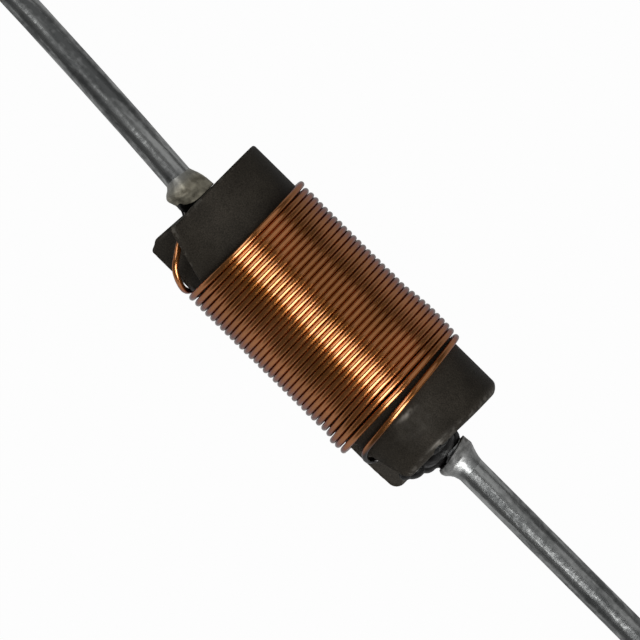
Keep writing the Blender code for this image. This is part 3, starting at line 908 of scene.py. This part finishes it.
def melted(name, blobs, voxel, finish):
    """One smooth body from ellipsoids, as a drop of glue runs together. A blob is (centre, radii)."""
    stray_size, stray_depth = 0.22 * MM, 0.014 * MM
    bm = bmesh.new()
    for centre, radii in blobs:
        made = bmesh.ops.create_uvsphere(bm, u_segments=40, v_segments=24, radius=1.0)
        for vert in made["verts"]:
            vert.co = Vector(centre) + Vector(a * b for a, b in zip(vert.co, radii))
    mesh = bpy.data.meshes.new(name)
    bm.to_mesh(mesh)
    bm.free()
    mesh.materials.append(finish)
    rough = add_object(name + "_rough", mesh)
    skin = rough.modifiers.new("skin", "REMESH")
    skin.mode = "VOXEL"
    skin.voxel_size = voxel
    skin.use_smooth_shade = True
    relax = rough.modifiers.new("relax", "SMOOTH")
    relax.iterations = 10
    smooth = evaluated_mesh(rough, name)
    points = np.array([vert.co for vert in smooth.vertices])
    normals = np.array([vert.normal for vert in smooth.vertices])
    stray = noise_at(points, stray_size, 5) * stray_depth
    smooth.vertices.foreach_set("co", (points + normals * stray[:, None]).ravel())
    smooth.update()
    return add_object(name, smooth)


class INDUCTOR_OT_core(bpy.types.Operator):
    """Build the ferrite core"""

    bl_idname = "inductor.core"
    bl_label = "Ferrite Core"

    def execute(self, context):
        scene = context.scene
        ferrite_core(scene.inductor_core, scene.inductor_leads, both_ends(scene))
        return {"FINISHED"}


class INDUCTOR_OT_winding(bpy.types.Operator):
    """Wind the enamelled wire round the core and lead it out through both slots"""

    bl_idname = "inductor.winding"
    bl_label = "Winding"

    def execute(self, context):
        scene = context.scene
        winding = scene.inductor_winding
        path = wire_path(
            scene.inductor_core, winding, scene.inductor_leads, scene.inductor_joints, both_ends(scene)
        )
        stray = winding.wander, winding.wander_length, winding.seed
        piece = swept_wire("enamelled_wire", path, enamel_material(winding), winding, *stray)
        hand_over(piece, "copper_winding")
        return {"FINISHED"}


class INDUCTOR_OT_leads(bpy.types.Operator):
    """Build both tinned leads"""

    bl_idname = "inductor.leads"
    bl_label = "Leads"

    def execute(self, context):
        leads = context.scene.inductor_leads
        tin = tin_material(leads)
        for end in both_ends(context.scene):
            points = [point for point, _ in lead_path(leads, end)]
            dents = leads.dent, leads.dent_length, leads.seed + end.side
            piece = swept_wire(f"tinned_lead_{end.letter}", points, tin, leads, *dents)
            hand_over(piece, f"lead_{end.letter}")
        return {"FINISHED"}


class INDUCTOR_OT_solder(bpy.types.Operator):
    """Build the solder that joins the wire to each lead"""

    bl_idname = "inductor.solder"
    bl_label = "Solder"

    def execute(self, context):
        scene = context.scene
        leads, joints = scene.inductor_leads, scene.inductor_joints
        tin = [(bright + dull) / 2 for bright, dull in zip(leads.tin, leads.tin_dull)]
        finishes = (
            solder_material("fluxed_solder", joints.flux, joints.flux_dark, tin, 0.5, 0.55),
            solder_material("tin_lead_solder", joints.solder, joints.solder_dark, tin, 0.5, 1.0),
        )
        for end, finish in zip(both_ends(scene), finishes):
            rings = solder_surface(leads, joints, end)
            piece = looped_rings(f"solder_fillet_{end.letter}", rings, finish)
            hand_over(piece, f"solder_joint_{end.letter}")
        return {"FINISHED"}


class INDUCTOR_OT_adhesive(bpy.types.Operator):
    """Build the black adhesive that holds each lead in the core"""

    bl_idname = "inductor.adhesive"
    bl_label = "Adhesive"

    def execute(self, context):
        joints = context.scene.inductor_joints
        black = adhesive_material(joints)
        for letter, blobs in ADHESIVE_BLOBS.items():
            placed = [
                ((x * MM, y * MM, z * MM + AXIS_HEIGHT), [radius * MM for radius in radii])
                for (x, y, z), radii in blobs
            ]
            piece = melted(f"epoxy_{letter}", placed, joints.voxel, black)
            hand_over(piece, f"adhesive_{letter}")
        return {"FINISHED"}


def white_floor(stage):
    """White paper. Seen straight, mirrored or through glass it shows white, and it keeps a soft shadow.

    What mirrors it sees it fade with distance, as a sheet of paper on a dark table would. That glow is
    centred towards -Y, a painted shade for the part's own shadow on +Y.
    """
    made, add, shader, place = blank_material(
        "white_paper", {"Roughness": 0.9, "Base Color": stage.floor_colour}
    )
    near, far = stage.paper / 4, stage.paper
    near_share, far_share, straight_share = 0.32, 0.03, 0.98
    # Measured from a point towards -Y, so the mirrored glow is dimmer on +Y: painted shade for the part's
    # shadow there.
    distance = add("VectorMath", {0: place, 1: (0.0, -near, 0.0)}, operation="DISTANCE")
    mirror_share = add(
        "MapRange",
        {"Value": distance, "From Min": near, "From Max": far, "To Min": near_share, "To Max": far_share},
    )
    light = add("LightPath").outputs
    mirrored = add("Math", {0: light["Is Glossy Ray"], 1: mirror_share}, operation="MULTIPLY")
    seen = add("Math", {0: light["Is Camera Ray"], 1: light["Is Transmission Ray"]}, operation="MAXIMUM")
    straight = add("Math", {0: seen, 1: straight_share}, operation="MULTIPLY")
    white = add("Math", {0: mirrored, 1: straight}, operation="MAXIMUM")
    glow = add("Emission")
    both = add("MixShader", {0: white, 1: shader, 2: glow})
    feed(made.node_tree.nodes["Material Output"], {"Surface": both})
    return made


def add_lamp(name, place, size_x, size_y, power):
    """A rectangular soft lamp that faces the middle of the part, its long side near to X."""
    data = bpy.data.lights.new(name, "AREA")
    data.shape = "RECTANGLE"
    data.size = size_x
    data.size_y = size_y
    data.energy = power
    made = add_object(name, data)
    made.location = place
    away = (made.location - Vector((0.0, 0.0, AXIS_HEIGHT))).normalized()
    up = away.cross(Vector((1.0, 0.0, 0.0))).normalized()
    made.rotation_mode = "QUATERNION"
    made.rotation_quaternion = Matrix((up.cross(away), up, away)).transposed().to_quaternion()


class INDUCTOR_OT_stage(bpy.types.Operator):
    """Set the camera, the floor and the lamps"""

    bl_idname = "inductor.stage"
    bl_label = "Stage"

    def execute(self, context):
        scene = context.scene
        stage = scene.inductor_stage
        half = stage.floor_size / 2
        corners = [(-half, -half, 0), (half, -half, 0), (half, half, 0), (-half, half, 0)]
        add_mesh("floor", corners, [(0, 1, 2, 3)], white_floor(stage))
        camera = bpy.data.cameras.new("camera")
        camera.sensor_width = SENSOR
        camera.lens = SENSOR * stage.camera_distance / stage.view_width
        camera.clip_start = 0.001
        camera.clip_end = 20
        view = add_object("camera", camera)
        view.location = (stage.camera_x, stage.camera_y, AXIS_HEIGHT + stage.camera_distance)
        view.rotation_euler = (0.0, 0.0, stage.camera_turn)
        scene.camera = view
        add_lamp("key_strip", (0.327, -0.087, 0.27), 0.506, 0.18, stage.key)
        add_lamp("left_strip", (-0.28, -0.07, 0.27), 0.36, 0.17, stage.left)
        add_lamp("fill_right", (0.0, 0.4, 0.4), 1.4, 0.5, stage.fill)
        world = bpy.data.worlds.new("studio")
        scene.world = world
        world.use_nodes = True
        sky = {"Color": (1.0, 1.0, 1.0, 1.0), "Strength": stage.sky}
        feed(world.node_tree.nodes["Background"], sky)
        scene.view_settings.view_transform = "Standard"
        return {"FINISHED"}


class INDUCTOR_PT_panel(bpy.types.Panel):
    """The inductor's pieces, in the order in which they are built"""

    bl_label = "Axial Inductor"
    bl_space_type = "VIEW_3D"
    bl_region_type = "UI"
    bl_category = "Inductor"

    def draw(self, context):
        for operator in OPERATORS:
            self.layout.operator(operator.bl_idname)


SETTINGS = {
    "inductor_core": CoreSettings,
    "inductor_winding": WindingSettings,
    "inductor_leads": LeadSettings,
    "inductor_joints": JointSettings,
    "inductor_stage": StageSettings,
}
OPERATORS = (
    INDUCTOR_OT_core,
    INDUCTOR_OT_winding,
    INDUCTOR_OT_leads,
    INDUCTOR_OT_solder,
    INDUCTOR_OT_adhesive,
    INDUCTOR_OT_stage,
)


def register():
    for made in (*SETTINGS.values(), *OPERATORS, INDUCTOR_PT_panel):
        bpy.utils.register_class(made)
    for name, made in SETTINGS.items():
        setattr(bpy.types.Scene, name, PointerProperty(type=made))


def unregister():
    for name in SETTINGS:
        delattr(bpy.types.Scene, name)
    for made in (INDUCTOR_PT_panel, *reversed(OPERATORS), *reversed(SETTINGS.values())):
        bpy.utils.unregister_class(made)


def main():
    register()
    bpy.ops.inductor.core()
    bpy.ops.inductor.winding()
    bpy.ops.inductor.leads()
    bpy.ops.inductor.solder()
    bpy.ops.inductor.adhesive()
    bpy.ops.inductor.stage()


if __name__ == "__main__":
    main()
